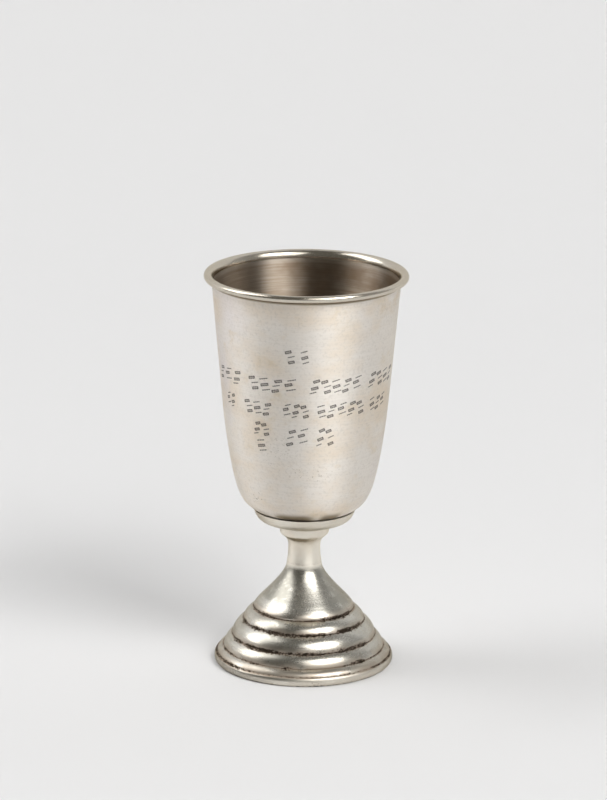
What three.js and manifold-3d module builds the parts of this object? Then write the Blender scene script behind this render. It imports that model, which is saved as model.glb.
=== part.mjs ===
// A silver kiddush cup: a tapering bowl with a rolled rim, seated above a shallow collar on a
// waisted stem, over a hollow bell foot with three convex steps and a rolled edge.
// Millimetres, +Z up. The origin is on the table, under the middle of the cup. The front, which
// carries the inscription, faces -Y.

import * as THREE from "three";
import { mergeVertices } from "three/addons/utils/BufferGeometryUtils.js";
import Module from "manifold-3d";

// Heights of the stacked pieces, from the table up
const footHeight = 33.4;
const stemHeight = 13.0;
const seatHeight = 4.65;
const bowlHeight = 78.95;

// Foot: rolled edge, ridge, three steps and a bell that rises to the neck
const footRadius = 29.1;
const footWall = 0.8;
const edgeBulge = 0.95;
const edgeHeight = 3.05;
const restingWidth = 1.25;
const ridgeRadius = 28.2;
const lowStepRadius = 26.05;
const lowStepLevel = 5.2;
const middleStepRadius = 23.35;
const middleStepLevel = 9.2;
const highStepRadius = 19.75;
const highStepLevel = 14.25;
const bellRadius = 16.25;
const bellLevel = 18.1;
const bellLip = 0.4;
const bellFullness = 1.9;
const bellSweep = 4.9;
const grooveDepth = 0.25;
const neckRadius = 5.64;

// Each step stands nearly upright at its foot and rolls over at its top. Its curve's handles are
// shares of the step's own width and height.
const stepLean = 0.12;
const stepUpright = 0.5;
const stepRoll = 0.42;
const stepDrop = 0.16;

// Stem: a waist under a flange, and a tenon that goes up through the collar to the bowl
const waistRadius = 5.2;
const waistLevel = 5.4;
const waistEase = 1.6;
const flangeRadius = 8.0;
const flangeThickness = 2.4;
const coveDepth = 1.6;
const coveReach = 3.8;
const tenonRadius = 4.0;

// Collar: a shallow dish whose lip stops just under the bowl
const collarRadius = 16.54;
const collarWall = 0.6;
const collarFlatMargin = 1.65;
const collarFullness = 4.8;
const collarRise = 1.7;
const collarLipDrop = 3.9;

// Bowl: flat base, rounded belly, straight taper and a rolled rim
const bowlWall = 0.7;
const baseRadius = 10.6;
const baseRound = 6.4;
const bellyRadius = 21.7;
const bellyLevel = 7.55;
const bellyLean = 0.36;
const bellyBelow = 4.8;
const bellyAbove = 5.85;
const shoulderRadius = 26.76;
const shoulderLevel = 37.0;
const shoulderRound = 9.95;
const lipRadius = 30.35;
const rimBeadRadius = 1.1;
const rimOverhang = 0.3;
const creaseDrop = 0.4;
const lipThroat = 1.5;

// The gap between pieces that are fitted but not joined face to face
const clearance = 0.3;

// Inscription: short bars cut into the front of the bowl, in rows measured above its base. A mark
// fills a share of its pitch.
const barDepth = 0.25;
const barProud = 0.4;
const barWidth = 0.65;
const markShare = 0.85;

// How finely the round forms are faceted
const bowlSides = 48;
const collarSides = 32;
const stemSides = 24;
const footSides = 40;

// Levels that several pieces share
const collarLevel = footHeight + stemHeight;
const bowlLevel = collarLevel + seatHeight;
const rimLevel = bowlLevel + bowlHeight;

const wasm = await Module();
wasm.setup();

function point(radius, level) {
  return new THREE.Vector2(radius, level);
}

function bend(start, startHandle, endHandle, end, steps) {
  return new THREE.CubicBezierCurve(start, startHandle, endHandle, end).getPoints(steps);
}

function ellipseArc(centre, across, up, fromDegrees, toDegrees, steps) {
  const from = THREE.MathUtils.degToRad(fromDegrees);
  const to = THREE.MathUtils.degToRad(toDegrees);
  const clockwise = to < from;
  return new THREE.EllipseCurve(centre.x, centre.y, across, up, from, to, clockwise).getPoints(steps);
}

// The same outline moved sideways by a wall's thickness, to its left
function offset(outline, thickness) {
  return outline.map((here, index) => {
    const before = outline[Math.max(index - 1, 0)];
    const after = outline[Math.min(index + 1, outline.length - 1)];
    const along = after.clone().sub(before);
    const left = point(-along.y, along.x).normalize();
    return here.clone().addScaledVector(left, thickness);
  });
}

function shifted(outline, shift) {
  return outline.map((here) => here.clone().add(shift));
}

// The value read off an outline where its rising coordinate passes a given height or radius
function readOff(outline, key, wanted, other) {
  for (let index = 1; index < outline.length; index += 1) {
    const before = outline[index - 1];
    const after = outline[index];
    if (before[key] <= wanted && wanted <= after[key] && after[key] > before[key]) {
      const share = (wanted - before[key]) / (after[key] - before[key]);
      return THREE.MathUtils.lerp(before[other], after[other], share);
    }
  }
  throw new Error(`the outline does not reach ${wanted}`);
}

// A solid turned about the +Z axis from an outline that runs anticlockwise in radius and level
function turned(outline, sides) {
  const spaced = outline.filter((here, index) => index === 0 || here.distanceTo(outline[index - 1]) > 1e-6);
  const geometry = new THREE.LatheGeometry(spaced, sides);
  geometry.rotateX(Math.PI / 2);
  return geometry;
}

function toManifold(geometry) {
  const bare = geometry.clone();
  bare.deleteAttribute("normal");
  bare.deleteAttribute("uv");
  const merged = mergeVertices(bare, 1e-4);
  const vertProperties = new Float32Array(merged.attributes.position.array);
  const triVerts = new Uint32Array(merged.index.array);
  return new wasm.Manifold(new wasm.Mesh({ numProp: 3, vertProperties, triVerts }));
}

function toGeometry(solid) {
  const mesh = solid.getMesh();
  const geometry = new THREE.BufferGeometry();
  geometry.setAttribute("position", new THREE.BufferAttribute(new Float32Array(mesh.vertProperties), 3));
  geometry.setIndex(new THREE.BufferAttribute(new Uint32Array(mesh.triVerts), 1));
  geometry.computeVertexNormals();
  return geometry;
}

// The outside of the bowl, from the edge of its flat base up to the crease under the rim
function bowlOutline() {
  const base = point(baseRadius, bowlLevel);
  const belly = point(bellyRadius, bowlLevel + bellyLevel);
  const shoulder = point(shoulderRadius, bowlLevel + shoulderLevel);
  const crease = point(lipRadius, rimLevel - 2 * rimBeadRadius - creaseDrop);
  const taper = (crease.x - shoulder.x) / (crease.y - shoulder.y);
  const lowerBelly = bend(
    base,
    point(baseRadius + baseRound, bowlLevel),
    point(bellyRadius - bellyLean * bellyBelow, belly.y - bellyBelow),
    belly,
    6,
  );
  const upperBelly = bend(
    belly,
    point(bellyRadius + bellyLean * bellyAbove, belly.y + bellyAbove),
    point(shoulderRadius - taper * shoulderRound, shoulder.y - shoulderRound),
    shoulder,
    4,
  );
  return [...lowerBelly, ...upperBelly.slice(1), crease];
}

// The bead rolled outwards at the rim, and the throat that leads from its top into the bowl
function rimOutline(innerCrease) {
  const bead = point(lipRadius + rimOverhang + rimBeadRadius, rimLevel - rimBeadRadius);
  const round = ellipseArc(bead, rimBeadRadius, rimBeadRadius, -145, 90, 7);
  const top = point(bead.x, rimLevel);
  const throat = bend(
    top,
    point(innerCrease.x + lipThroat / 2, rimLevel),
    point(innerCrease.x, innerCrease.y + lipThroat),
    innerCrease,
    3,
  );
  return [...round, ...throat.slice(1)];
}

function plainBowl() {
  const outside = bowlOutline();
  const inside = offset(outside, bowlWall).reverse();
  const floor = point(0, bowlLevel + bowlWall);
  const outline = [point(0, bowlLevel), ...outside, ...rimOutline(inside[0]), ...inside.slice(1), floor];
  return turned(outline, bowlSides);
}

// The marks aren't letters. Each kind is one or two slanting bars that lie apart, placed by shares
// of the mark's own width and height.
const markKinds = [
  [{ from: [0.02, 0.8], to: [0.62, 0.9] }, { from: [0.35, 0.08], to: [0.95, 0.18] }],
  [{ from: [0.1, 0.42], to: [0.8, 0.54] }],
  [{ from: [0.3, 0.78], to: [0.9, 0.88] }, { from: [0.0, 0.06], to: [0.6, 0.16] }],
  [{ from: [0.05, 0.58], to: [0.65, 0.68] }],
  [{ from: [0.35, 0.86], to: [0.95, 0.97] }, { from: [0.15, 0.36], to: [0.8, 0.47] }],
];

// Each word runs from one angle to another, in degrees to the right of the front, and is made
// of a number of marks
const inscriptionRows = [
  { level: 56.1, height: 4.6, words: [{ from: -13, to: -6, marks: 1 }, { from: -3, to: 3, marks: 1 }] },
  {
    level: 46.2,
    height: 4.6,
    words: [
      { from: -76, to: -46, marks: 3 },
      { from: -40, to: -5, marks: 4 },
      { from: 3, to: 40, marks: 5 },
      { from: 46, to: 78, marks: 4 },
    ],
  },
  {
    level: 38.1,
    height: 4.4,
    words: [
      { from: -66, to: -55, marks: 2 },
      { from: -45, to: -22, marks: 3 },
      { from: -15, to: 3, marks: 3 },
      { from: 8, to: 44, marks: 5 },
      { from: 49, to: 68, marks: 3 },
    ],
  },
  { level: 31.2, height: 4.2, words: [{ from: -38, to: -25, marks: 2 }] },
  { level: 25.6, height: 4.2, words: [{ from: -36, to: -27, marks: 1 }] },
  { level: 28.5, height: 5.9, words: [{ from: -13, to: 3, marks: 2 }, { from: 8, to: 21, marks: 2 }] },
];

// A point on the outside of the bowl, and the way that its surface faces there
function onBowl(outside, degrees, level) {
  const radius = readOff(outside, "y", level, "x");
  const step = 0.5;
  const slope = (readOff(outside, "y", level + step, "x") - readOff(outside, "y", level - step, "x")) / (2 * step);
  const angle = THREE.MathUtils.degToRad(degrees);
  const across = new THREE.Vector3(Math.sin(angle), -Math.cos(angle), 0);
  const position = across.clone().multiplyScalar(radius).setZ(level);
  const normal = across.clone().setZ(-slope).normalize();
  return { position, normal };
}

function barSolid(outside, mark, bar) {
  const place = ([share, rise]) =>
    onBowl(outside, THREE.MathUtils.lerp(mark.from, mark.to, share), mark.level + rise * mark.height);
  const start = place(bar.from);
  const end = place(bar.to);
  const along = end.position.clone().sub(start.position);
  const length = along.length();
  const normal = start.normal.clone().add(end.normal).normalize();
  const forward = along.normalize();
  const sideways = normal.clone().cross(forward).normalize();
  const outwards = forward.clone().cross(sideways);
  const box = new THREE.BoxGeometry(length, barWidth, barDepth + barProud);
  box.translate(0, 0, (barProud - barDepth) / 2);
  box.applyMatrix4(new THREE.Matrix4().makeBasis(forward, sideways, outwards));
  const middle = start.position.clone().add(end.position).multiplyScalar(0.5);
  box.translate(middle.x, middle.y, middle.z);
  return toManifold(box);
}

function inscribedBowl() {
  const outside = bowlOutline();
  let bowl = toManifold(plainBowl());
  let kind = 0;
  for (const row of inscriptionRows) {
    for (const word of row.words) {
      const pitch = (word.to - word.from) / word.marks;
      for (let index = 0; index < word.marks; index += 1) {
        const from = word.from + index * pitch;
        const mark = { from, to: from + pitch * markShare, level: bowlLevel + row.level, height: row.height };
        for (const bar of markKinds[kind % markKinds.length]) {
          bowl = bowl.subtract(barSolid(outside, mark, bar));
        }
        kind += 1;
      }
    }
  }
  return toGeometry(bowl);
}

// A dish with a hole for the stem's tenon. Its lip stops a clearance below the bowl.
function collar() {
  const holeRadius = tenonRadius + clearance;
  const flatRadius = flangeRadius + collarFlatMargin;
  const bowlUnderside = readOff(bowlOutline(), "x", collarRadius - collarWall, "y");
  const lipLevel = bowlUnderside - clearance;
  const outside = bend(
    point(flatRadius, collarLevel),
    point(flatRadius + collarFullness, collarLevel + collarRise),
    point(collarRadius - collarWall * 2, lipLevel - collarLipDrop),
    point(collarRadius, lipLevel),
    5,
  );
  const inside = offset(outside, collarWall);
  inside[0].set(flatRadius, collarLevel + collarWall);
  inside[inside.length - 1].set(collarRadius - collarWall, lipLevel);
  const hole = [point(holeRadius, collarLevel + collarWall), point(holeRadius, collarLevel)];
  return turned([hole[1], ...outside, ...inside.reverse(), ...hole], collarSides);
}

// A waisted column with a flange under the collar and a tenon that carries the bowl
function stem() {
  const waist = point(waistRadius, footHeight + waistLevel);
  const flangeLow = point(flangeRadius, collarLevel - flangeThickness);
  const lower = bend(
    point(neckRadius, footHeight),
    point((neckRadius + waistRadius) / 2, footHeight + waistEase),
    point(waistRadius, waist.y - 2 * waistEase),
    waist,
    3,
  );
  const cove = bend(
    waist,
    point(waistRadius, waist.y + coveReach),
    point(flangeRadius, flangeLow.y - coveDepth),
    flangeLow,
    5,
  );
  const top = [point(flangeRadius, collarLevel), point(tenonRadius, collarLevel)];
  const tenon = [point(tenonRadius, bowlLevel), point(0, bowlLevel)];
  return turned([point(0, footHeight), ...lower, ...cove.slice(1), ...top, ...tenon], stemSides);
}

// The steps of the foot, from the ridge at the table up to the bell
const footSteps = [
  point(ridgeRadius, edgeHeight),
  point(lowStepRadius, lowStepLevel),
  point(middleStepRadius, middleStepLevel),
  point(highStepRadius, highStepLevel),
  point(bellRadius, bellLevel),
];

// A step's convex face, from its foot to where it meets the step above
function rolled(low, high) {
  const width = low.x - high.x;
  const height = high.y - low.y;
  const lowHandle = point(low.x - stepLean * width, low.y + stepUpright * height);
  const highHandle = point(high.x + stepRoll * width, high.y - stepDrop * height);
  return bend(low, lowHandle, highHandle, high, 2);
}

// The convex steps, each rising to a groove cut in under the one above it
function stepsOutline(groove) {
  const outline = [];
  for (let index = 0; index + 1 < footSteps.length; index += 1) {
    const above = footSteps[index + 1];
    outline.push(...rolled(footSteps[index], point(above.x - groove, above.y)));
  }
  return outline;
}

function bellOutline() {
  const low = point(bellRadius, bellLevel + bellLip);
  const high = point(neckRadius, footHeight);
  const handles = [point(bellRadius, low.y + bellFullness), point(neckRadius, footHeight - bellSweep)];
  return [point(bellRadius, bellLevel), ...bend(low, handles[0], handles[1], high, 6)];
}

// A spun shell that is open below. Its underside follows the outside, a wall's thickness in.
function foot() {
  const edgeMiddle = point(footRadius - edgeBulge, edgeHeight / 2);
  const edge = ellipseArc(edgeMiddle, edgeBulge, edgeHeight / 2, -90, 75, 4);
  const restingInner = point(edgeMiddle.x - restingWidth, 0);
  const slope = point(bellRadius - ridgeRadius, bellLevel - edgeHeight).normalize();
  const inwards = point(-slope.y, slope.x).multiplyScalar(footWall);
  const underside = shifted([...stepsOutline(0), ...bellOutline()], inwards).reverse();
  const tucked = point(restingInner.x, underside[underside.length - 1].y);
  const outline = [
    restingInner,
    ...edge,
    ...stepsOutline(grooveDepth),
    ...bellOutline(),
    point(0, footHeight),
    point(0, underside[0].y),
    ...underside.filter((here) => here.x < restingInner.x),
    tucked,
    restingInner,
  ];
  return turned(outline, footSides);
}

function silver(color, roughness) {
  return new THREE.MeshStandardMaterial({ color, roughness, metalness: 1.0 });
}

function piece(name, geometry, material) {
  const mesh = new THREE.Mesh(geometry, material);
  mesh.name = name;
  return mesh;
}

const cup = new THREE.Group();
cup.add(piece("bowl", inscribedBowl(), silver(0xc9c3b8, 0.38)));
cup.add(piece("collar", collar(), silver(0xbdb7aa, 0.32)));
cup.add(piece("stem", stem(), silver(0xc4beb2, 0.42)));
cup.add(piece("foot", foot(), silver(0xb9b3a8, 0.22)));

export default cup;
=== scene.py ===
"""A silver kiddush cup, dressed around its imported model.

The bowl, collar, stem and foot are turned again as fine meshes, the inscription's strokes are
sunk into the bowl, and every surface gets its own silver. Outlines are in millimetres, as pairs
of radius and level above the table.
"""

import math

import bpy
import numpy as np
from mathutils import Matrix, Vector


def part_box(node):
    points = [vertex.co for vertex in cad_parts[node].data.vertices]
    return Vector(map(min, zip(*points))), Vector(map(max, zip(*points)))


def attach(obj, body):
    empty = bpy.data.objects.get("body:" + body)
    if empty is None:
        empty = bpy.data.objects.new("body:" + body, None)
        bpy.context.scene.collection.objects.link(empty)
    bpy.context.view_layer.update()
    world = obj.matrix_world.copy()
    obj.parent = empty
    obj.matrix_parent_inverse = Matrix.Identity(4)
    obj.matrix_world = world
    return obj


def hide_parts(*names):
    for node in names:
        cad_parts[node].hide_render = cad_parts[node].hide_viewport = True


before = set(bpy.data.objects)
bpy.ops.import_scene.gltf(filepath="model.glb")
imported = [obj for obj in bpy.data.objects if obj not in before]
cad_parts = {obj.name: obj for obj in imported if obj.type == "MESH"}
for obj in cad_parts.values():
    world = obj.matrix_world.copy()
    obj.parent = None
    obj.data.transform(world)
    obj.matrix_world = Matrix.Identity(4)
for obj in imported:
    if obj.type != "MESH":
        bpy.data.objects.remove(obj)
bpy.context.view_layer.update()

MM = 0.001

# Levels where the pieces meet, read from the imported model
FOOT_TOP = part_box("foot")[1][2] / MM
COLLAR_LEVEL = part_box("collar")[0][2] / MM
BOWL_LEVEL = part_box("bowl")[0][2] / MM
RIM_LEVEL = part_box("bowl")[1][2] / MM
LIP_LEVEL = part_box("collar")[1][2] / MM

# Widest radii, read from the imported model
RIM_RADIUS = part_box("bowl")[1][0] / MM
COLLAR_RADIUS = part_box("collar")[1][0] / MM
FOOT_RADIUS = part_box("foot")[1][0] / MM
FLANGE_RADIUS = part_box("stem")[1][0] / MM

# Foot
FOOT_WALL = 0.8
EDGE_BULGE = 0.95
EDGE_HEIGHT = 3.05
RESTING_WIDTH = 1.25
BELL_RADIUS = 16.25
BELL_LEVEL = 18.1
BELL_LIP = 0.4
BELL_FULLNESS = 1.9
BELL_SWEEP = 4.9
GROOVE_DEPTH = 0.25
NECK_RADIUS = 5.64

# The foot's steps from the ridge up to the bell, as radius and level
FOOT_STEPS = [
    (28.2, EDGE_HEIGHT),
    (26.05, 5.2),
    (23.35, 9.2),
    (19.75, 14.25),
    (BELL_RADIUS, BELL_LEVEL),
]

# Each step stands nearly upright at its foot and rolls over at its top. Its curve's handles are
# shares of the step's own width and height.
STEP_LEAN = 0.12
STEP_UPRIGHT = 0.5
STEP_ROLL = 0.42
STEP_DROP = 0.16

# Stem
WAIST_RADIUS = 5.2
WAIST_LEVEL = 5.4
WAIST_EASE = 1.6
FLANGE_THICKNESS = 2.4
COVE_DEPTH = 1.6
COVE_REACH = 3.8
TENON_RADIUS = 4.0

# Collar
COLLAR_WALL = 0.6
COLLAR_FLAT_RADIUS = 9.65
COLLAR_HOLE_RADIUS = 4.3
COLLAR_FULLNESS = 4.8
COLLAR_RISE = 1.7
COLLAR_LIP_DROP = 3.9

# Bowl
BOWL_WALL = 0.7
BASE_RADIUS = 10.6
BASE_ROUND = 6.4
BELLY_RADIUS = 21.7
BELLY_LEVEL = 7.55
BELLY_LEAN = 0.36
BELLY_BELOW = 4.8
BELLY_ABOVE = 5.85
SHOULDER_RADIUS = 26.76
SHOULDER_LEVEL = 37.0
SHOULDER_ROUND = 9.95
LIP_RADIUS = 30.35
RIM_BEAD = 1.1
CREASE_DROP = 0.4
CREASE_LEVEL = RIM_LEVEL - 2 * RIM_BEAD - CREASE_DROP
LIP_THROAT = 1.5
INSIDE_FADE = 1.5
RIM_FADE = 0.2

# Corners that turn more than this are rounded, by this share of their sides at most
SHARP_DEGREES = 28.0
EASED_SHARE = 0.45
BOWL_EASE = 0.25
COLLAR_EASE = 0.15
STEM_EASE = 0.12
FOOT_EASE = 0.3

# How finely the pieces are turned, and which of their edges stay sharp
BOWL_TURNS = 200
SMALL_TURNS = 128
FOOT_TURNS = 256
ROW_GAP = 0.85
ENGRAVED_CUTS = 4
MERGE_GAP = 0.004
SMOOTH_DEGREES = 40


def deselect_all():
    bpy.ops.object.select_all(action="DESELECT")


# Outlines

def bend(start, start_handle, end_handle, end, steps):
    """Points along a cubic curve, both ends included."""
    points = []
    for index in range(steps + 1):
        share = index / steps
        rest = 1.0 - share
        weights = (rest**3, 3 * rest**2 * share, 3 * rest * share**2, share**3)
        corners = (start, start_handle, end_handle, end)
        points.append(tuple(sum(w * c[axis] for w, c in zip(weights, corners)) for axis in (0, 1)))
    return points


def rolled(low, high, steps):
    """A step's convex face, from its foot to where it meets the step above."""
    width, height = low[0] - high[0], high[1] - low[1]
    low_handle = (low[0] - STEP_LEAN * width, low[1] + STEP_UPRIGHT * height)
    high_handle = (high[0] + STEP_ROLL * width, high[1] - STEP_DROP * height)
    return bend(low, low_handle, high_handle, high, steps)


def ellipse_arc(centre, across, up, from_degrees, to_degrees, steps):
    turn = math.radians(to_degrees - from_degrees)
    angles = [math.radians(from_degrees) + turn * index / steps for index in range(steps + 1)]
    return [(centre[0] + across * math.cos(a), centre[1] + up * math.sin(a)) for a in angles]


def straight(start, end, gap):
    steps = max(1, round(math.dist(start, end) / gap))
    points = []
    for index in range(steps + 1):
        share = index / steps
        points.append(tuple(start[axis] + (end[axis] - start[axis]) * share for axis in (0, 1)))
    return points


def offset(outline, thickness):
    """The same outline moved by a wall's thickness, to its left."""
    moved = []
    for index, here in enumerate(outline):
        before = outline[max(index - 1, 0)]
        after = outline[min(index + 1, len(outline) - 1)]
        along = (after[0] - before[0], after[1] - before[1])
        length = math.hypot(*along)
        moved.append((here[0] - along[1] / length * thickness, here[1] + along[0] / length * thickness))
    return moved


def joined(*stretches):
    """One outline from several stretches, without doubled points."""
    outline = []
    for stretch in stretches:
        for here in stretch:
            if not outline or math.dist(outline[-1], here) > 1e-4:
                outline.append(here)
    return outline


def eased(outline, radius):
    """The outline with its sharp corners rounded, except where it ends on the axis."""
    result = [outline[0]]
    for before, here, after in zip(outline, outline[1:], outline[2:]):
        into = (here[0] - before[0], here[1] - before[1])
        out = (after[0] - here[0], after[1] - here[1])
        sideways = into[0] * out[1] - into[1] * out[0]
        onwards = into[0] * out[0] + into[1] * out[1]
        if abs(math.degrees(math.atan2(sideways, onwards))) < SHARP_DEGREES:
            result.append(here)
            continue
        back = min(radius / math.hypot(*into), EASED_SHARE)
        forth = min(radius / math.hypot(*out), EASED_SHARE)
        start = (here[0] - into[0] * back, here[1] - into[1] * back)
        end = (here[0] + out[0] * forth, here[1] + out[1] * forth)
        result.extend(bend(start, here, here, end, steps=4))
    result.append(outline[-1])
    return joined(result)


# Modelling

def turned(name, outline, turns):
    """A closed piece spun about the cup's axis from an outline that is drawn point by point."""
    deselect_all()
    bpy.ops.mesh.primitive_plane_add(size=MM, location=(0, 0, 0))
    piece = bpy.context.object
    piece.name = name
    piece.data.name = name
    bpy.ops.object.mode_set(mode="EDIT")
    bpy.ops.mesh.select_mode(type="VERT")
    bpy.ops.mesh.select_all(action="SELECT")
    bpy.ops.mesh.merge(type="CENTER")
    bpy.ops.transform.translate(value=(outline[0][0] * MM, 0, outline[0][1] * MM))
    for before, here in zip(outline, outline[1:]):
        step = ((here[0] - before[0]) * MM, 0, (here[1] - before[1]) * MM)
        bpy.ops.mesh.extrude_vertices_move(TRANSFORM_OT_translate={"value": step})
    bpy.ops.mesh.select_all(action="SELECT")
    bpy.ops.mesh.spin(steps=turns, angle=math.tau, center=(0, 0, 0), axis=(0, 0, 1))
    bpy.ops.mesh.select_all(action="SELECT")
    bpy.ops.mesh.remove_doubles(threshold=MERGE_GAP * MM)
    bpy.ops.mesh.normals_make_consistent(inside=False)
    bpy.ops.object.mode_set(mode="OBJECT")
    bpy.ops.object.shade_smooth_by_angle(angle=math.radians(SMOOTH_DEGREES))
    return piece


def dress(piece, node):
    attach(piece, "root")
    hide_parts(node)


def round_places(elements, coordinates):
    """Radius, angle to the right of the front and level, in millimetres and radians."""
    places = np.empty(len(elements) * 3)
    elements.foreach_get(coordinates, places)
    x, y, z = places.reshape(-1, 3).T / MM
    return np.hypot(x, y), np.arctan2(x, -y), z


def vertex_places(piece):
    return round_places(piece.data.vertices, "co")


def face_places(piece):
    return round_places(piece.data.polygons, "center")


def store_shade(piece, name, values):
    """A number for each vertex, which the piece's materials read."""
    attribute = piece.data.attributes.new(name, "FLOAT", "POINT")
    attribute.data.foreach_set("value", np.asarray(values, dtype=np.float32))


def smooth_share(values, low, high):
    """Rises smoothly from 0 at the low value to 1 at the high one."""
    share = np.clip((values - low) / (high - low), 0.0, 1.0)
    return share * share * (3.0 - 2.0 * share)


def patch_share(values, middle, half):
    """1 at the middle of a patch, and 0 at its ends and beyond."""
    return np.clip(1.0 - ((values - middle) / half) ** 2, 0.0, 1.0)


# Bowl

def bowl_outside():
    base = (BASE_RADIUS, BOWL_LEVEL)
    belly = (BELLY_RADIUS, BOWL_LEVEL + BELLY_LEVEL)
    shoulder = (SHOULDER_RADIUS, BOWL_LEVEL + SHOULDER_LEVEL)
    crease = (LIP_RADIUS, CREASE_LEVEL)
    taper = (crease[0] - shoulder[0]) / (crease[1] - shoulder[1])
    lower_belly = bend(
        base,
        (BASE_RADIUS + BASE_ROUND, BOWL_LEVEL),
        (BELLY_RADIUS - BELLY_LEAN * BELLY_BELOW, belly[1] - BELLY_BELOW),
        belly,
        steps=22,
    )
    upper_belly = bend(
        belly,
        (BELLY_RADIUS + BELLY_LEAN * BELLY_ABOVE, belly[1] + BELLY_ABOVE),
        (SHOULDER_RADIUS - taper * SHOULDER_ROUND, shoulder[1] - SHOULDER_ROUND),
        shoulder,
        steps=34,
    )
    return joined(lower_belly, upper_belly, straight(shoulder, crease, ROW_GAP))


def radius_by_level(outside):
    """A function that gives the outside's radius at any level."""
    levels = np.array([here[1] for here in outside])
    radii = np.array([here[0] for here in outside])

    def radius_at(level):
        return np.interp(level, levels, radii)

    return radius_at


def rim_outline(inner_crease):
    """The bead rolled outwards, and the throat that leads from its top into the bowl."""
    bead = (RIM_RADIUS - RIM_BEAD, RIM_LEVEL - RIM_BEAD)
    bead_round = ellipse_arc(bead, RIM_BEAD, RIM_BEAD, -145, 90, steps=18)
    throat = bend(
        (bead[0], RIM_LEVEL),
        (inner_crease[0] + LIP_THROAT / 2, RIM_LEVEL),
        (inner_crease[0], inner_crease[1] + LIP_THROAT),
        inner_crease,
        steps=12,
    )
    return joined(bead_round, throat)


def turned_bowl(outside):
    inside = offset(outside, BOWL_WALL)[::-1]
    floor = (0.0, BOWL_LEVEL + BOWL_WALL)
    outline = joined(
        [(0.0, BOWL_LEVEL)],
        outside,
        rim_outline(inside[0]),
        inside[:1],
        inside[2:-2:3],
        inside[-1:],
        [floor],
    )
    return turned("silver_bowl", eased(outline, BOWL_EASE), BOWL_TURNS)


# Inscription

def bar(start, end):
    return ("bar", start, end)


def hairline(start, end):
    return ("hairline", start, end)


# The marks aren't letters. Each kind is a few slanting strokes that lie apart, placed by shares
# of the mark's own width and height.
MARK_KINDS = [
    [
        bar((0.02, 0.8), (0.62, 0.9)),
        hairline((0.3, 0.46), (0.98, 0.58)),
        bar((0.35, 0.08), (0.95, 0.18)),
    ],
    [
        hairline((0.0, 0.84), (0.75, 0.97)),
        bar((0.1, 0.42), (0.8, 0.54)),
        hairline((0.25, 0.06), (0.95, 0.18)),
    ],
    [
        bar((0.3, 0.78), (0.9, 0.88)),
        hairline((0.1, 0.44), (0.7, 0.55)),
        bar((0.0, 0.06), (0.6, 0.16)),
    ],
    [
        hairline((0.3, 0.92), (0.98, 1.03)),
        bar((0.05, 0.58), (0.65, 0.68)),
        hairline((0.15, 0.2), (0.95, 0.33)),
    ],
    [
        bar((0.35, 0.86), (0.95, 0.97)),
        bar((0.15, 0.36), (0.8, 0.47)),
        hairline((0.0, 0.04), (0.6, 0.14)),
    ],
]

# Rows of marks: level above the bowl's base, height, and words as the angles in degrees that
# each one runs between, with its number of marks
INSCRIPTION_ROWS = [
    (56.1, 4.6, [(-13, -6, 1), (-3, 3, 1)]),
    (46.2, 4.6, [(-76, -46, 3), (-40, -5, 4), (3, 40, 5), (46, 78, 4)]),
    (38.1, 4.4, [(-66, -55, 2), (-45, -22, 3), (-15, 3, 3), (8, 44, 5), (49, 68, 3)]),
    (31.2, 4.2, [(-38, -25, 2)]),
    (25.6, 4.2, [(-36, -27, 1)]),
    (28.5, 5.9, [(-13, 3, 2), (8, 21, 2)]),
]
BAR_HALF_WIDTH = 0.32
HAIRLINE_HALF_WIDTH = 0.17
LINE_DEPTH = 0.14
BAR_DEPTH = 0.06
HATCH_GAP = 0.45
HATCH_BASE = 0.15
HATCH_SHARE = 0.45
MARK_SHARE = 0.85
STROKE_REACH = BAR_HALF_WIDTH + 0.9


def inscription_strokes():
    """Every stroke as its kind and its two ends, each an angle in radians and a level."""
    strokes = []
    count = 0
    for level, height, words in INSCRIPTION_ROWS:
        for left, right, marks in words:
            pitch = (right - left) / marks
            for index in range(marks):
                from_degrees = left + index * pitch
                for sort, start, end in MARK_KINDS[count % len(MARK_KINDS)]:
                    ends = [
                        (
                            math.radians(from_degrees + share * pitch * MARK_SHARE),
                            BOWL_LEVEL + level + rise * height,
                        )
                        for share, rise in (start, end)
                    ]
                    strokes.append((sort, *ends))
                count += 1
    return strokes


def along_and_aside(angle, level, radius, radius_at, start, end):
    """Places of points along a stroke and to its side, on the unrolled bowl, and its length."""
    start_x, end_x = (turn * radius_at(rise) for turn, rise in (start, end))
    across, up = end_x - start_x, end[1] - start[1]
    length = math.hypot(across, up)
    x = angle * radius - start_x
    y = level - start[1]
    return (x * across + y * up) / length, (y * across - x * up) / length, length


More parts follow.
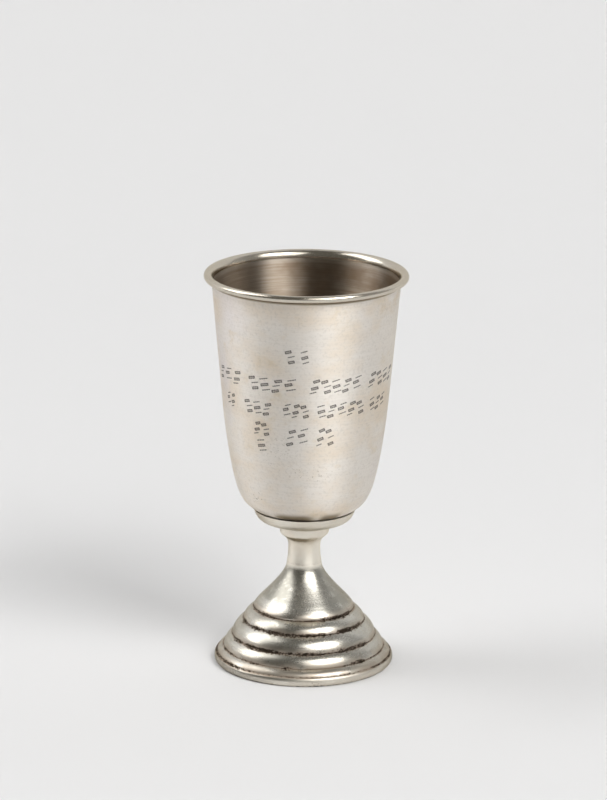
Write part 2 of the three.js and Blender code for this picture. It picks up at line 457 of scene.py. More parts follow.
def engrave(bowl, radius_at):
    """Cuts the strokes: finer faces round them first, then the strokes' depth and darkness."""
    strokes = inscription_strokes()

    def nearness(angle, level, radius):
        nearest = np.full(len(angle), np.inf)
        for _, start, end in strokes:
            along, aside, length = along_and_aside(angle, level, radius, radius_at, start, end)
            beyond = np.maximum(np.maximum(-along, along - length), 0.0)
            nearest = np.minimum(nearest, np.hypot(beyond, aside))
        return nearest

    mesh = bowl.data
    radius, angle, level = face_places(bowl)
    on_outside = radius > radius_at(level) - BOWL_WALL / 2
    chosen = on_outside & (nearness(angle, level, radius) < STROKE_REACH)
    deselect_all()
    bowl.select_set(True)
    bpy.context.view_layer.objects.active = bowl
    bpy.ops.object.mode_set(mode="EDIT")
    bpy.ops.mesh.select_mode(type="FACE")
    bpy.ops.mesh.select_all(action="DESELECT")
    bpy.ops.object.mode_set(mode="OBJECT")
    mesh.polygons.foreach_set("select", chosen)
    bpy.ops.object.mode_set(mode="EDIT")
    bpy.ops.mesh.subdivide(number_cuts=ENGRAVED_CUTS)
    bpy.ops.object.mode_set(mode="OBJECT")

    radius, angle, level = vertex_places(bowl)
    surface = radius_at(level)
    zone = (radius > surface - BOWL_WALL / 2) & (nearness(angle, level, surface) < STROKE_REACH)
    depth = np.zeros(len(radius))
    shade = np.zeros(len(radius))
    for sort, start, end in strokes:
        along, aside, length = along_and_aside(angle, level, surface, radius_at, start, end)
        beyond = np.maximum(np.maximum(-along, along - length), 0.0)
        distance = np.hypot(beyond, aside)
        if sort == "hairline":
            line = np.clip(1.0 - distance / HAIRLINE_HALF_WIDTH, 0.0, 1.0)
            depth = np.maximum(depth, line * LINE_DEPTH)
            shade = np.maximum(shade, np.minimum(2.0 * line, 1.0))
        else:
            # A bar has flat ends, an outline and hatching.
            outwards = np.maximum(np.abs(aside) - BAR_HALF_WIDTH, np.maximum(-along, along - length))
            edge = np.clip(1.0 - np.abs(outwards) / HAIRLINE_HALF_WIDTH, 0.0, 1.0)
            hatch = 0.5 + 0.5 * np.cos((along + aside) * math.tau / HATCH_GAP)
            filling = (outwards < 0) * (HATCH_BASE + HATCH_SHARE * hatch)
            depth = np.maximum(depth, np.maximum(edge * LINE_DEPTH, filling * BAR_DEPTH))
            shade = np.maximum(shade, np.maximum(np.minimum(2.0 * edge, 1.0), filling))
    depth[~zone] = 0.0
    shade[~zone] = 0.0
    places = np.empty(len(radius) * 3)
    mesh.vertices.foreach_get("co", places)
    places = places.reshape(-1, 3)
    fresh = (surface[zone] - depth[zone]) / radius[zone]
    places[zone, 0] *= fresh
    places[zone, 1] *= fresh
    mesh.vertices.foreach_set("co", places.ravel())
    mesh.update()
    store_shade(bowl, "engraving", shade)


# Collar, stem and foot

def turned_collar():
    outside = bend(
        (COLLAR_FLAT_RADIUS, COLLAR_LEVEL),
        (COLLAR_FLAT_RADIUS + COLLAR_FULLNESS, COLLAR_LEVEL + COLLAR_RISE),
        (COLLAR_RADIUS - COLLAR_WALL * 2, LIP_LEVEL - COLLAR_LIP_DROP),
        (COLLAR_RADIUS, LIP_LEVEL),
        steps=24,
    )
    inside = offset(outside, COLLAR_WALL)
    inside[0] = (COLLAR_FLAT_RADIUS, COLLAR_LEVEL + COLLAR_WALL)
    inside[-1] = (COLLAR_RADIUS - COLLAR_WALL, LIP_LEVEL)
    hole_top = (COLLAR_HOLE_RADIUS, COLLAR_LEVEL + COLLAR_WALL)
    hole_bottom = (COLLAR_HOLE_RADIUS, COLLAR_LEVEL)
    outline = joined([hole_bottom], outside, inside[::-2], [hole_top, hole_bottom])
    return turned("silver_collar", eased(outline, COLLAR_EASE), SMALL_TURNS)


def turned_stem():
    waist = (WAIST_RADIUS, FOOT_TOP + WAIST_LEVEL)
    flange_low = (FLANGE_RADIUS, COLLAR_LEVEL - FLANGE_THICKNESS)
    lower = bend(
        (NECK_RADIUS, FOOT_TOP),
        ((NECK_RADIUS + WAIST_RADIUS) / 2, FOOT_TOP + WAIST_EASE),
        (WAIST_RADIUS, waist[1] - 2 * WAIST_EASE),
        waist,
        steps=16,
    )
    cove = bend(
        waist,
        (WAIST_RADIUS, waist[1] + COVE_REACH),
        (FLANGE_RADIUS, flange_low[1] - COVE_DEPTH),
        flange_low,
        steps=24,
    )
    top = [(FLANGE_RADIUS, COLLAR_LEVEL), (TENON_RADIUS, COLLAR_LEVEL)]
    tenon = [(TENON_RADIUS, BOWL_LEVEL), (0.0, BOWL_LEVEL)]
    outline = joined([(0.0, FOOT_TOP)], lower, cove, top, tenon)
    return turned("silver_stem", eased(outline, STEM_EASE), SMALL_TURNS)


def steps_outline(groove):
    """The convex steps, each rising to a groove cut in under the one above it."""
    outline = []
    for low, above in zip(FOOT_STEPS, FOOT_STEPS[1:]):
        outline += rolled(low, (above[0] - groove, above[1]), steps=16)
    return outline


def bell_outline():
    low = (BELL_RADIUS, BELL_LEVEL + BELL_LIP)
    high = (NECK_RADIUS, FOOT_TOP)
    low_handle = (BELL_RADIUS, low[1] + BELL_FULLNESS)
    high_handle = (NECK_RADIUS, FOOT_TOP - BELL_SWEEP)
    return [(BELL_RADIUS, BELL_LEVEL)] + bend(low, low_handle, high_handle, high, steps=40)


def turned_foot():
    edge_middle = (FOOT_RADIUS - EDGE_BULGE, EDGE_HEIGHT / 2)
    edge = ellipse_arc(edge_middle, EDGE_BULGE, EDGE_HEIGHT / 2, -90, 75, steps=16)
    resting_inner = (edge_middle[0] - RESTING_WIDTH, 0.0)
    top, ridge = FOOT_STEPS[-1], FOOT_STEPS[0]
    slope = (top[0] - ridge[0], top[1] - ridge[1])
    length = math.hypot(*slope)
    inwards = (-slope[1] / length * FOOT_WALL, slope[0] / length * FOOT_WALL)
    shell = joined(steps_outline(0.0), bell_outline())
    underside = [(here[0] + inwards[0], here[1] + inwards[1]) for here in shell][::-2]
    underside = [here for here in underside if here[0] < resting_inner[0]]
    tucked = (resting_inner[0], underside[-1][1])
    outline = joined(
        [resting_inner],
        edge,
        steps_outline(GROOVE_DEPTH),
        bell_outline(),
        [(0.0, FOOT_TOP), (0.0, underside[0][1])],
        underside,
        [tucked, resting_inner],
    )
    return turned("silver_foot", eased(outline, FOOT_EASE), FOOT_TURNS)


# Materials

# Silver that is dull with handling reflects less than bare metal where it is seen edge-on.
WORN_EDGE = (0.66, 0.62, 0.55)
BOWL_EDGE = (0.80, 0.76, 0.69)


class Finish:
    """One procedural material, with the few node chains that the silver needs."""

    def __init__(self, name, roughness, anisotropy=0.0, edge=WORN_EDGE):
        self.material = bpy.data.materials.new(name)
        self.material.use_nodes = True
        self.nodes = self.material.node_tree.nodes
        self.links = self.material.node_tree.links
        self.shader = self.nodes["Principled BSDF"]
        self.shader.inputs["Metallic"].default_value = 1.0
        self.shader.inputs["Roughness"].default_value = roughness
        self.shader.inputs["Specular Tint"].default_value = (*edge, 1.0)
        self.shader.inputs["Anisotropic"].default_value = anisotropy
        self.place = self.nodes.new("ShaderNodeTexCoord").outputs["Object"]
        if anisotropy:
            # The brushed lines run round the cup, so its highlights stretch up and down.
            tangent = self.nodes.new("ShaderNodeTangent")
            tangent.direction_type = "RADIAL"
            tangent.axis = "Z"
            self.links.new(tangent.outputs["Tangent"], self.shader.inputs["Tangent"])
            self.shader.inputs["Anisotropic Rotation"].default_value = 0.25

    def feed(self, socket, value):
        """Puts a number, a colour or another node's output into a socket."""
        if isinstance(value, bpy.types.NodeSocket):
            self.links.new(value, socket)
        elif isinstance(value, tuple) and len(value) == 3 and socket.type == "RGBA":
            socket.default_value = (*value, 1.0)
        else:
            socket.default_value = value

    def stretched(self, scale):
        mapping = self.nodes.new("ShaderNodeMapping")
        self.feed(mapping.inputs["Vector"], self.place)
        mapping.inputs["Scale"].default_value = scale
        return mapping.outputs["Vector"]

    def noise(self, scale, stretch=(1.0, 1.0, 1.0), detail=3.0, roughness=0.55):
        node = self.nodes.new("ShaderNodeTexNoise")
        self.feed(node.inputs["Vector"], self.stretched(stretch))
        node.inputs["Scale"].default_value = scale
        node.inputs["Detail"].default_value = detail
        node.inputs["Roughness"].default_value = roughness
        return node.outputs["Fac"]

    def between(self, value, low, high, to_low=0.0, to_high=1.0):
        node = self.nodes.new("ShaderNodeMapRange")
        node.interpolation_type = "SMOOTHSTEP"
        self.feed(node.inputs["Value"], value)
        node.inputs["From Min"].default_value = low
        node.inputs["From Max"].default_value = high
        node.inputs["To Min"].default_value = to_low
        node.inputs["To Max"].default_value = to_high
        return node.outputs["Result"]

    def combine(self, operation, first, second):
        node = self.nodes.new("ShaderNodeMath")
        node.operation = operation
        self.feed(node.inputs[0], first)
        self.feed(node.inputs[1], second)
        return node.outputs["Value"]

    def blend(self, share, first, second):
        node = self.nodes.new("ShaderNodeMix")
        node.data_type = "RGBA"
        self.feed(node.inputs["Factor"], share)
        self.feed(node.inputs["A"], first)
        self.feed(node.inputs["B"], second)
        return node.outputs["Result"]

    def shade(self, name):
        node = self.nodes.new("ShaderNodeAttribute")
        node.attribute_name = name
        return node.outputs["Fac"]

    def stained_and_shaded(self):
        """The piece's tarnish and painted shade, with a ragged outline."""
        ragged = self.combine("SUBTRACT", self.noise(700.0, detail=4.0, roughness=0.7), 0.5)
        return self.between(self.combine("ADD", self.shade("tarnish_and_shade"), ragged), 0.2, 1.0)

    def relief(self, height, strength, distance):
        node = self.nodes.new("ShaderNodeBump")
        node.inputs["Strength"].default_value = strength
        node.inputs["Distance"].default_value = distance
        self.feed(node.inputs["Height"], height)
        self.feed(self.shader.inputs["Normal"], node.outputs["Normal"])

    def colour(self, value):
        self.feed(self.shader.inputs["Base Color"], value)

    def roughness(self, value):
        self.feed(self.shader.inputs["Roughness"], value)


SILVER = (0.89, 0.85, 0.80)
WARM_SILVER = (0.86, 0.775, 0.67)
COOL_SILVER = (0.82, 0.785, 0.795)
YELLOW_SILVER = (0.76, 0.64, 0.46)
LINE_GREY = (0.60, 0.56, 0.505)
# The inside's colours: brown tarnish, darkened further as painted shade inside the bowl
INSIDE_SILVER = (0.52, 0.45, 0.375)
INSIDE_BROWN = (0.30, 0.225, 0.16)
RIM_GREY = (0.63, 0.58, 0.50)
COLLAR_SILVER = (0.83, 0.79, 0.70)
COLLAR_HAZE = (0.71, 0.64, 0.53)
STEM_SILVER = (0.93, 0.885, 0.79)
STEM_HAZE = (0.86, 0.79, 0.68)
FOOT_SILVER = (0.72, 0.70, 0.64)
FOOT_HAZE = (0.55, 0.52, 0.455)
FOOT_FILM_AND_SHADE = (0.38, 0.368, 0.325)
FOOT_TINT = (0.45, 0.38, 0.31)
BASE_BROWN = (0.34, 0.28, 0.20)
STROKE_BROWN = (0.04, 0.031, 0.024)
GROOVE_BROWN = (0.27, 0.20, 0.155)
# Darkest brown: deposits in the foot's grooves, and painted shade under the rim's bead and along the
# foot's bottom edge
GRIME_AND_SHADE = (0.045, 0.034, 0.024)
PAPER = (0.787, 0.79, 0.802)


def brushed_bowl(name, anisotropy):
    """Brushed round the cup. Darker and browner inside, partly as painted shade, and smoother on the
    rim.
    """
    finish = Finish(name, 0.57, anisotropy, BOWL_EDGE)
    clouds = finish.between(finish.noise(42.0, (1.0, 1.0, 1.5), 4.0), 0.42, 0.66)
    cool = finish.between(finish.noise(26.0, (1.0, 1.0, 0.6)), 0.5, 0.75)
    stain = finish.between(finish.noise(95.0, (1.0, 1.0, 1.3), 5.0, 0.65), 0.56, 0.74)
    turning = finish.noise(60.0, (1.0, 1.0, 40.0), 4.0, 0.7)
    lines = finish.between(turning, 0.3, 0.7)
    outside = finish.blend(clouds, SILVER, WARM_SILVER)
    outside = finish.blend(cool, outside, COOL_SILVER)
    outside = finish.blend(finish.combine("MULTIPLY", stain, 0.5), outside, YELLOW_SILVER)
    outside = finish.blend(finish.combine("MULTIPLY", lines, 0.15), outside, LINE_GREY)
    grain = finish.between(finish.noise(1200.0, detail=3.0), 0.48, 0.72)
    outside = finish.blend(finish.combine("MULTIPLY", grain, 0.28), outside, LINE_GREY)
    # The inside is darker and browner: partly tarnish, partly painted shade inside the bowl.
    inside = finish.blend(clouds, INSIDE_SILVER, INSIDE_BROWN)
    inside = finish.blend(finish.combine("MULTIPLY", lines, 0.6), inside, INSIDE_BROWN)
    base = finish.blend(finish.shade("rim"), outside, RIM_GREY)
    base = finish.blend(finish.shade("inside"), base, inside)
    pits = finish.between(finish.noise(1500.0, detail=1.0), 0.62, 0.7)
    base = finish.blend(finish.combine("MULTIPLY", pits, finish.shade("pitted")), base, BASE_BROWN)
    # Painted shade in the crease under the rim's bead and at the seam, and the real stains round the
    # base, darken the outside here.
    tarnish_and_shade = finish.shade("tarnish_and_shade")
    base = finish.blend(finish.between(tarnish_and_shade, 0.0, 0.6), base, BASE_BROWN)
    base = finish.blend(finish.between(tarnish_and_shade, 0.55, 1.0), base, GRIME_AND_SHADE)
    finish.colour(finish.blend(finish.shade("engraving"), base, STROKE_BROWN))
    sheen = finish.combine("MULTIPLY", finish.shade("inside"), 0.45)
    smooth = finish.combine("MAXIMUM", finish.shade("rim"), sheen)
    finish.roughness(finish.between(smooth, 0.0, 1.0, 0.57, 0.23))
    finish.relief(turning, 0.09, 0.0002)
    return finish.material


def worn_collar():
    finish = Finish("worn_collar", 0.36, 0.6)
    clouds = finish.between(finish.noise(80.0), 0.4, 0.7)
    turning = finish.noise(60.0, (1.0, 1.0, 30.0), 4.0, 0.7)
    base = finish.blend(clouds, COLLAR_SILVER, COLLAR_HAZE)
    lines = finish.between(turning, 0.45, 0.75)
    base = finish.blend(finish.combine("MULTIPLY", lines, 0.5), base, LINE_GREY)
    # Brown tarnish and painted shade round the collar's foot.
    finish.colour(finish.blend(finish.stained_and_shaded(), base, BASE_BROWN))
    finish.relief(turning, 0.1, 0.0002)
    return finish.material


def satin_stem():
    finish = Finish("satin_stem", 0.44, 0.5)
    clouds = finish.between(finish.noise(120.0), 0.4, 0.7)
    base = finish.blend(clouds, STEM_SILVER, STEM_HAZE)
    # Brown tarnish and painted shade under the flange, and painted shade round the foot of the stem.
    finish.colour(finish.blend(finish.stained_and_shaded(), base, BASE_BROWN))
    finish.relief(finish.noise(900.0), 0.1, 0.0001)
    return finish.material


def polished_foot():
    """Turned and polished, with a dull film and painted shade on the bell and steps, dark deposits in
    the grooves, a painted contact shadow along the bottom edge, and a painted highlight on the edge's
    front.
    """
    finish = Finish("polished_foot", 0.3)
    turning = finish.noise(60.0, (1.0, 1.0, 30.0), 5.0, 0.7)
    haze = finish.between(finish.noise(55.0, (1.0, 1.0, 2.0), 5.0, 0.65), 0.4, 0.7)
    base = finish.blend(haze, FOOT_SILVER, FOOT_HAZE)
    lines = finish.between(turning, 0.4, 0.7)
    base = finish.blend(finish.combine("MULTIPLY", lines, 0.3), base, FOOT_FILM_AND_SHADE)
    mottled = finish.between(finish.noise(320.0, (1.0, 1.0, 1.2), 6.0, 0.75), 0.25, 0.55)
    # A dull grey tarnish film, partly painted shade that dims the highlights on the bell, steps and
    # edge
    film_and_shade = finish.combine("MULTIPLY", finish.shade("film_and_shade"), mottled)
    base = finish.blend(film_and_shade, base, FOOT_FILM_AND_SHADE)
    # The matte top by the stem, and satin wear with a painted highlight on the edge's front right
    matte_and_highlight = finish.shade("matte_and_highlight")
    base = finish.blend(matte_and_highlight, base, STEM_SILVER)
    patchy = finish.between(finish.noise(160.0), 0.22, 0.55)
    tint = finish.combine("MULTIPLY", finish.shade("tint"), patchy)
    base = finish.blend(tint, base, FOOT_TINT)
    broad = finish.combine("SUBTRACT", finish.noise(260.0, detail=2.0), 0.5)
    fine = finish.combine("SUBTRACT", finish.noise(1900.0, (1.0, 1.0, 1.2), 2.0, 0.6), 0.5)
    broad = finish.combine("MULTIPLY", broad, 1.1)
    fine = finish.combine("MULTIPLY", fine, 2.4)
    ragged = finish.combine("ADD", broad, fine)
    # Deposits in the grooves, and painted contact shadow along the bottom edge
    deposit_and_shadow = finish.combine("ADD", finish.shade("grime_and_shadow"), ragged)
    brown = finish.between(deposit_and_shadow, 0.3, 0.7)
    dark = finish.between(deposit_and_shadow, 0.6, 0.8)
    base = finish.blend(finish.combine("MULTIPLY", brown, 0.75), base, GROOVE_BROWN)
    finish.colour(finish.blend(dark, base, GRIME_AND_SHADE))
    dull = finish.combine("MULTIPLY", film_and_shade, 0.45)
    for wear in (deposit_and_shadow, tint, matte_and_highlight):
        dull = finish.combine("MAXIMUM", dull, wear)
    finish.roughness(finish.between(dull, 0.1, 1.0, 0.25, 0.5))
    finish.relief(turning, 0.12, 0.0002)
    return finish.material


def pale_paper():
    material = bpy.data.materials.new("pale_paper")
    material.use_nodes = True
    shader = material.node_tree.nodes["Principled BSDF"]
    shader.inputs["Base Color"].default_value = (*PAPER, 1.0)
    shader.inputs["Roughness"].default_value = 0.9
    shader.inputs["Specular IOR Level"].default_value = 0.1
    return material


def give(piece, *materials):
    piece.data.materials.clear()
    for material in materials:
        piece.data.materials.append(material)


# Tarnish, wear, and painted light and shade, as numbers that the materials read

# Reach in millimetres of the painted shade under the rim's bead and at the seam, and of the stains
# above the seam
CREASE_SHADE = 0.8
SEAM_SHADE = 0.25
SEAM_STRENGTH = 0.25
BASE_STAIN = 4.6

# Smears above the collar: middle and half width in degrees, and strength
BASE_STAINS = [(-11, 28, 0.85), (27, 16, 0.7), (-50, 24, 0.35)]

# Places with small dark pits: angle in degrees, level above the bowl's base, half its width and
# half its height in millimetres, and strength
PITTED_PLACES = [(-44, 8.5, 3.2, 3.0, 1.0), (4, 19.0, 9.0, 3.5, 0.6), (-20, 26.0, 9.0, 8.0, 0.3)]


def finish_bowl(bowl, radius_at):
    """Marks the inside, the rim, the painted shade under the rim's bead and at the seam above the
    collar, and the tarnish round the base.
    """

    def on_inner_side(radius, level):
        within = radius < radius_at(level) - BOWL_WALL / 2
        return within & (level > BOWL_LEVEL + BOWL_WALL / 2)

    radius, angle, level = vertex_places(bowl)
    inner = on_inner_side(radius, level)
    throat = RIM_LEVEL - RIM_BEAD
    deepness = smooth_share(throat - level, 0.0, LIP_THROAT + INSIDE_FADE)
    store_shade(bowl, "inside", inner * deepness)
    store_shade(bowl, "rim", smooth_share(level, CREASE_LEVEL - RIM_FADE, CREASE_LEVEL + RIM_FADE))
    # Painted shade in the crease under the rim's bead, and a fainter band of it just above the collar's
    # lip.
    crease = np.clip(1.0 - np.abs(level - CREASE_LEVEL) / CREASE_SHADE, 0.0, 1.0)
    seam = SEAM_STRENGTH * (1.0 - smooth_share(level, LIP_LEVEL, LIP_LEVEL + SEAM_SHADE))
    stain = np.maximum(crease, seam)
    low = 1.0 - smooth_share(level, LIP_LEVEL + SEAM_SHADE, LIP_LEVEL + BASE_STAIN)
    for middle, half, strength in BASE_STAINS:
        near = 1.0 - smooth_share(np.abs(np.degrees(angle) - middle), 0.3 * half, half)
        stain = np.maximum(stain, near * low * strength)
    store_shade(bowl, "tarnish_and_shade", np.where(inner, 0.0, stain))
    pitted = np.zeros(len(radius))
    for middle, height, half_width, half_height, strength in PITTED_PLACES:
        across = (angle - math.radians(middle)) * radius / half_width
        up = (level - BOWL_LEVEL - height) / half_height
        pitted = np.maximum(pitted, strength * np.clip(1.0 - across**2 - up**2, 0.0, 1.0))
    store_shade(bowl, "pitted", np.where(inner, 0.0, pitted))
    give(bowl, brushed_bowl("satin_bowl", 0.68), brushed_bowl("brushed_inside", 0.97))
    radius, _, level = face_places(bowl)
    deep = on_inner_side(radius, level) & (level < throat - INSIDE_FADE)
    bowl.data.polygons.foreach_set("material_index", deep.astype(np.int32))


# Brown tarnish and painted shade round the collar's foot: its height, and its darkest place in degrees
COLLAR_STAIN_AND_SHADE = 1.7
COLLAR_STAIN_AND_SHADE_DEGREES = -40

# The stem's brown band of tarnish and painted shade under the flange: its drop under the collar, half
# its height, and its darkest place
STEM_BAND_DROP = 4.0
STEM_BAND_HALF = 1.2
STEM_BAND_DEGREES = -22
# Painted shade round the foot of the stem: its height, and the faintest strength of it and of the band
STEM_LOW_SHADE = 2.0
FAINT_SHADE = 0.35


def tarnish_and_shade_collar(collar):
    """Marks brown tarnish and painted shade round the foot of the collar, where it meets the flange,
    darkest on the left.
    """
    _, angle, level = vertex_places(collar)
    low = 1.0 - smooth_share(level, COLLAR_LEVEL, COLLAR_LEVEL + COLLAR_STAIN_AND_SHADE)
    around = 0.45 + 0.25 * np.cos(angle - math.radians(COLLAR_STAIN_AND_SHADE_DEGREES))
    store_shade(collar, "tarnish_and_shade", low * around)


def tarnish_and_shade_stem(stem):
    """Marks a brown band of tarnish and painted shade under the flange, and fainter painted shade round
    the foot of the stem.
    """
    _, angle, level = vertex_places(stem)
    band = patch_share(level, COLLAR_LEVEL - STEM_BAND_DROP, STEM_BAND_HALF)
    away = np.abs(np.degrees(angle) - STEM_BAND_DEGREES)
    around = FAINT_SHADE + (1.0 - FAINT_SHADE) * (1.0 - smooth_share(away, 20.0, 50.0))
    low = FAINT_SHADE * (1.0 - smooth_share(level, FOOT_TOP, FOOT_TOP + STEM_LOW_SHADE))
    store_shade(stem, "tarnish_and_shade", np.maximum(band * around, low))


# Tarnish in the foot's grooves, and painted contact shadow along its bottom edge at level 0, as
# patches: groove level, half its height, from and to in degrees, and strength
GROOVE_PATCHES = [
    (18.1, 0.3, -180, 180, 0.8),
    (18.25, 0.9, 18, 66, 0.95),
    (18.3, 0.8, -84, -34, 0.75),
    (18.25, 0.8, 110, 200, 0.8),
    (14.25, 0.35, -180, 180, 0.85),
    (14.3, 0.85, -82, 24, 0.85),
    (14.5, 1.0, 32, 70, 0.95),
    (14.3, 0.85, 140, 250, 0.8),
    (9.2, 0.35, -180, 180, 0.85),
    (9.25, 0.9, -74, 16, 0.9),
    (9.45, 1.0, 26, 60, 0.9),
    (9.2, 0.85, 100, 170, 0.8),
    (5.2, 0.3, 26, 90, 0.8),
    (5.4, 0.8, 34, 50, 0.8),
    (5.3, 0.8, -17, -7, 0.85),
    (5.2, 0.5, -115, -25, 0.6),
    (3.05, 0.7, -125, -45, 0.8),
    (3.05, 0.3, -50, 50, 0.5),
    (3.05, 0.4, 50, 125, 0.85),
    # Painted contact shadow along the bottom edge, where the foot meets the floor
    (0.0, 0.5, -180, 180, 0.7),
]
PATCH_FADE = 5.0
TINT_REACH = 2.5
TINT_BELOW = 0.3
EDGE_TINT = 0.35
EDGE_TINT_FROM = EDGE_HEIGHT + 1.0
EDGE_TINT_TO = EDGE_HEIGHT + 2.2

# Dull film, and painted shade that dims the foot's highlights and darkens its sides: the levels that it
# lies between, the middle and half width of each patch in degrees, and its strength
FILM_AND_SHADE_PATCHES = [
    (25.5, FOOT_TOP, 0, 180, 0.45),
    (21.5, FOOT_TOP, -52, 50, 1.1),
    (19.5, FOOT_TOP, 68, 50, 0.9),
    (3.0, 19.5, 78, 45, 0.35),
    (3.0, 19.5, -24, 26, 0.9),
    (-1.0, 4.2, -70, 60, 1.0),
    (-1.0, 4.2, 90, 50, 0.6),
]
FILM_AND_SHADE_FADE = 1.5
MATTE_REACH = 2.4

# Satin wear and a painted highlight on the foot's edge, lighter at the front right: its middle and half
# width in degrees, and its strength
EDGE_WEAR_AND_HIGHLIGHT = (25, 60, 0.75)
EDGE_WEAR_AND_HIGHLIGHT_FADE = 0.8


def mark_foot_tarnish_and_light(foot):
    """Marks the grooves' deposits, the painted contact shadow along the bottom edge, the tinted lips,
    the dull film with its painted shade, the edge's satin wear with its painted highlight, and the
    matte top by the stem.
    """
    radius, angle, level = vertex_places(foot)
    grime_and_shadow = np.zeros(len(radius))
    tint = np.zeros(len(radius))
    degrees = np.degrees(angle)
    for groove, reach, left, right, strength in GROOVE_PATCHES:
        middle, half = (left + right) / 2, (right - left) / 2
        away = np.abs((degrees - middle + 180) % 360 - 180)
        along = smooth_share(half - away, -PATCH_FADE, PATCH_FADE) if half < 180 else 1.0
        grime_and_shadow = np.maximum(grime_and_shadow, along * patch_share(level, groove, reach) * strength)
    for _, groove in FOOT_STEPS:
        above = level - groove
        fading = np.clip(1.0 - above / TINT_REACH, 0.0, 1.0)
        tint = np.maximum(tint, (above > -TINT_BELOW) * fading)
    low = 1.0 - smooth_share(level, EDGE_TINT_FROM, EDGE_TINT_TO)
    tint = np.maximum(tint, EDGE_TINT * low)
    film_and_shade = np.zeros(len(radius))
    for low, high, middle, half, strength in FILM_AND_SHADE_PATCHES:
        risen = smooth_share(level, low, low + FILM_AND_SHADE_FADE)
        ended = smooth_share(level, high - FILM_AND_SHADE_FADE, high)
        around = patch_share(degrees, middle, half) if half < 180 else 1.0
        film_and_shade = np.maximum(film_and_shade, risen * (1.0 - ended) * around * strength)
    store_shade(foot, "grime_and_shadow", grime_and_shadow)
    store_shade(foot, "tint", tint)
    store_shade(foot, "film_and_shade", film_and_shade)
    middle, half, strength = EDGE_WEAR_AND_HIGHLIGHT
    below = 1.0 - smooth_share(level, EDGE_HEIGHT, EDGE_HEIGHT + EDGE_WEAR_AND_HIGHLIGHT_FADE)
    worn_and_lit = strength * patch_share(degrees, middle, half) * below
    by_stem = smooth_share(level, FOOT_TOP - MATTE_REACH, FOOT_TOP)
    store_shade(foot, "matte_and_highlight", np.maximum(worn_and_lit, by_stem))


# Stage, light and camera

SHEET_FRONT = -5.0
SHEET_BACK = 1.7
SHEET_WIDTH = 12.0
SHEET_RISE = 4.0
SHEET_CURVE = 1.3
DIM_ROOM = (0.128, 0.124, 0.112)
PALE_ROOM = (0.57, 0.572, 0.57)
PALE_SIDE = (0.45, 0.8, -0.3)
DIM_UNTIL = -0.45
PALE_FROM = 0.95
LIGHT_DISTANCE = 5.0
LIGHT_TARGET = (0.0, 0.0, 0.06)

# Softboxes: name, azimuth and elevation in degrees, width and height in metres, watts and colour.
# Azimuth 0 is in front and 90 to the right.
SOFTBOXES = [
    ("right_softbox", 36, 41, 4.4, 3.1, 103, (1.0, 0.992, 0.975)),
    ("right_softbox_middle", 41, 42, 2.3, 1.6, 87, (1.0, 0.992, 0.975)),
    ("left_softbox", -103, 40, 4.2, 4.6, 166, (1.0, 0.995, 0.985)),
]


def lay_floor():
    """A pale sheet that lies flat under the cup and sweeps up well behind it."""
    deselect_all()
    bpy.ops.mesh.primitive_plane_add(size=1.0, location=(0, (SHEET_BACK + SHEET_FRONT) / 2, 0))
    sheet = bpy.context.object
    sheet.name = "pale_sheet"
    bpy.ops.object.mode_set(mode="EDIT")
    bpy.ops.mesh.select_all(action="SELECT")
    bpy.ops.transform.resize(value=(SHEET_WIDTH, SHEET_BACK - SHEET_FRONT, 1.0))
    bpy.ops.mesh.select_mode(type="EDGE")
    bpy.ops.mesh.select_all(action="DESELECT")
    bpy.ops.object.mode_set(mode="OBJECT")
    for edge in sheet.data.edges:
        edge.select = all(sheet.data.vertices[corner].co.y > 0 for corner in edge.vertices)
    bpy.ops.object.mode_set(mode="EDIT")
    bpy.ops.mesh.extrude_edges_move(TRANSFORM_OT_translate={"value": (0, 0, SHEET_RISE)})
    bpy.ops.mesh.select_all(action="DESELECT")
    bpy.ops.object.mode_set(mode="OBJECT")
    for edge in sheet.data.edges:
        ends = [sheet.data.vertices[corner].co for corner in edge.vertices]
        edge.select = all(end.y > 0 and end.z < SHEET_RISE / 2 for end in ends)
    bpy.ops.object.mode_set(mode="EDIT")
    bpy.ops.mesh.bevel(offset=SHEET_CURVE, segments=32)
    bpy.ops.object.mode_set(mode="OBJECT")
    bpy.ops.object.shade_smooth()
    give(sheet, pale_paper())


def softbox(name, azimuth, elevation, width, height, power, colour):
    """An area light aimed at the cup."""
    around, up = math.radians(azimuth), math.radians(elevation)
    across = math.cos(up)
    direction = Vector((math.sin(around) * across, -math.cos(around) * across, math.sin(up)))
    deselect_all()
    bpy.ops.object.light_add(type="AREA", location=Vector(LIGHT_TARGET) + direction * LIGHT_DISTANCE)
    light = bpy.context.object
    light.name = name
    light.rotation_euler = direction.to_track_quat("Z", "Y").to_euler()
    light.data.shape = "RECTANGLE"
    light.data.size = width
    light.data.size_y = height
    light.data.energy = power
    light.data.color = colour


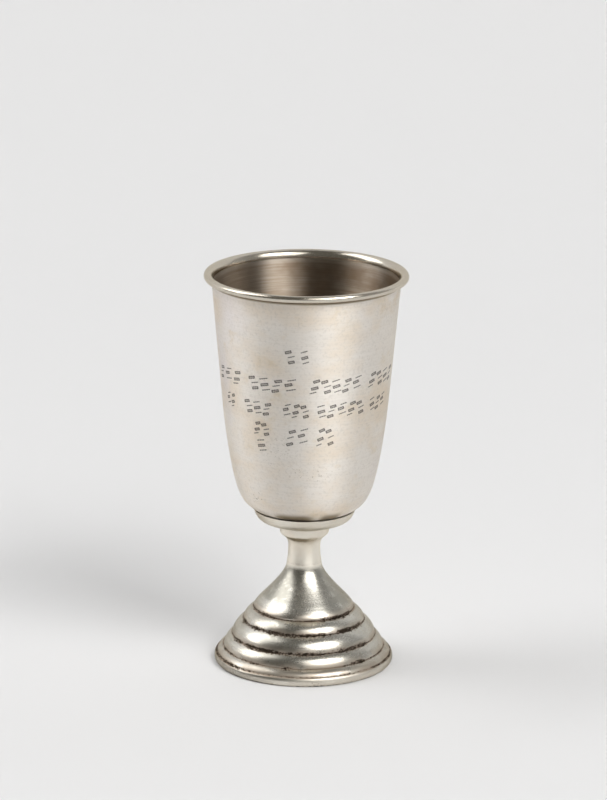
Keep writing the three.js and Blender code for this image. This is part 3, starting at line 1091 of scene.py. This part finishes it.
def studio_surroundings():
    """A room that is pale behind the cup, and dim overhead and to the left of the camera."""
    world = bpy.data.worlds.new("studio")
    bpy.context.scene.world = world
    world.use_nodes = True
    nodes, links = world.node_tree.nodes, world.node_tree.links
    direction = nodes.new("ShaderNodeTexCoord").outputs["Generated"]
    towards = nodes.new("ShaderNodeVectorMath")
    towards.operation = "DOT_PRODUCT"
    links.new(direction, towards.inputs[0])
    towards.inputs[1].default_value = PALE_SIDE
    share = nodes.new("ShaderNodeMapRange")
    share.interpolation_type = "SMOOTHSTEP"
    links.new(towards.outputs["Value"], share.inputs["Value"])
    share.inputs["From Min"].default_value = DIM_UNTIL
    share.inputs["From Max"].default_value = PALE_FROM
    colour = nodes.new("ShaderNodeMix")
    colour.data_type = "RGBA"
    links.new(share.outputs["Result"], colour.inputs["Factor"])
    colour.inputs["A"].default_value = (*DIM_ROOM, 1.0)
    colour.inputs["B"].default_value = (*PALE_ROOM, 1.0)
    links.new(colour.outputs["Result"], nodes["Background"].inputs["Color"])


def light_studio():
    for box in SOFTBOXES:
        softbox(*box)
    studio_surroundings()


CAMERA_PLACE = (0.0, -1.2616, 0.4409)
CAMERA_PITCH = 0.2730
CAMERA_YAW = -0.0005
CAMERA_ROLL = 0.0079
FOCAL_PIXELS = 4071.6
PHOTO_LONG_SIDE = 800
SENSOR = 36.0


def place_camera():
    forward = Vector(
        (
            math.sin(CAMERA_YAW) * math.cos(CAMERA_PITCH),
            math.cos(CAMERA_YAW) * math.cos(CAMERA_PITCH),
            -math.sin(CAMERA_PITCH),
        )
    )
    level_right = Vector((math.cos(CAMERA_YAW), -math.sin(CAMERA_YAW), 0.0))
    level_up = level_right.cross(forward)
    right = level_right * math.cos(CAMERA_ROLL) + level_up * math.sin(CAMERA_ROLL)
    up = level_up * math.cos(CAMERA_ROLL) - level_right * math.sin(CAMERA_ROLL)
    deselect_all()
    bpy.ops.object.camera_add(location=CAMERA_PLACE)
    camera = bpy.context.object
    camera.name = "photo_camera"
    turn = Matrix((right, up, -forward)).transposed().to_4x4()
    camera.matrix_world = Matrix.Translation(CAMERA_PLACE) @ turn
    camera.data.sensor_width = SENSOR
    camera.data.lens = FOCAL_PIXELS / PHOTO_LONG_SIDE * SENSOR
    bpy.context.scene.camera = camera


place_camera()
light_studio()
lay_floor()
bpy.context.scene.view_settings.view_transform = "Standard"

bowl_outline = bowl_outside()
bowl_radius = radius_by_level(bowl_outline)
bowl = turned_bowl(bowl_outline)
engrave(bowl, bowl_radius)
finish_bowl(bowl, bowl_radius)
dress(bowl, "bowl")

collar = turned_collar()
tarnish_and_shade_collar(collar)
give(collar, worn_collar())
dress(collar, "collar")

stem = turned_stem()
tarnish_and_shade_stem(stem)
give(stem, satin_stem())
dress(stem, "stem")

foot = turned_foot()
mark_foot_tarnish_and_light(foot)
give(foot, polished_foot())
dress(foot, "foot")
